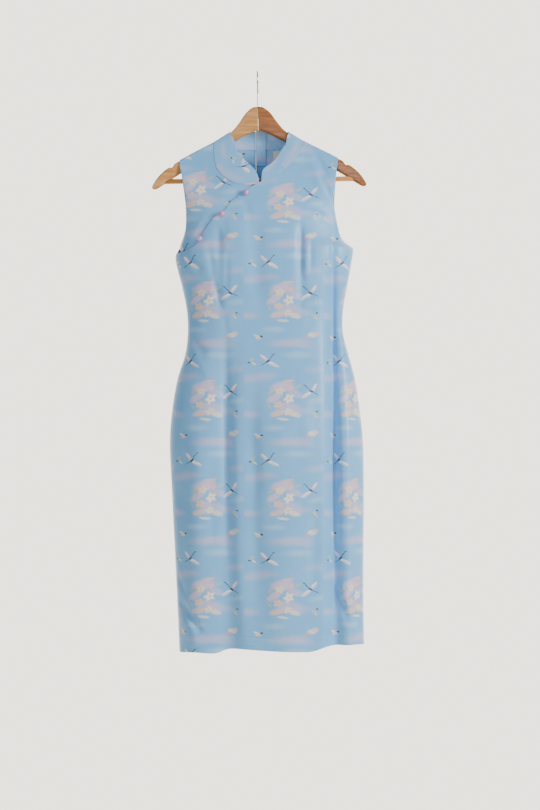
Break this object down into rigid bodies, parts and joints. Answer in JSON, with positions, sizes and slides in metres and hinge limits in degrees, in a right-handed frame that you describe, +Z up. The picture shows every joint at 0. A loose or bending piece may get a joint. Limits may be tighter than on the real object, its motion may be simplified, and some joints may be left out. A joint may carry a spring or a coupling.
{
  "type": "cheongsam dress on hanger",
  "caption": "Sleeveless knee-length satin cheongsam with a stand collar and a curved button opening, hanging open on a contoured wooden hanger with a wire hook.",
  "frame": {"origin": "inner top of the hanger's hook, where it bears on a rail", "axes": "+Z up, the front of the dress faces -Y, +X to the right of someone facing the front"},
  "size_m": [0.444, 0.1586, 1.213],
  "materials": {
    "satin": "printed satin",
    "label": "plain woven tape",
    "button": "pearl",
    "pale_wood": "clear lacquer",
    "brown_wood": "clear lacquer",
    "hook_steel": "polished"
  },
  "bodies": {
    "root": {"front": "satin", "under_lap": "satin", "back_left": "satin", "back_right": "satin", "collar_left": "satin", "collar_right": "satin", "zip_guard": "satin", "label": "label", "button_1": "button", "button_2": "button", "button_3": "button", "hanger_left": "pale_wood", "hanger_right": "brown_wood", "hanger_bar": "pale_wood", "hook": "hook_steel"}
  },
  "joints": []
}
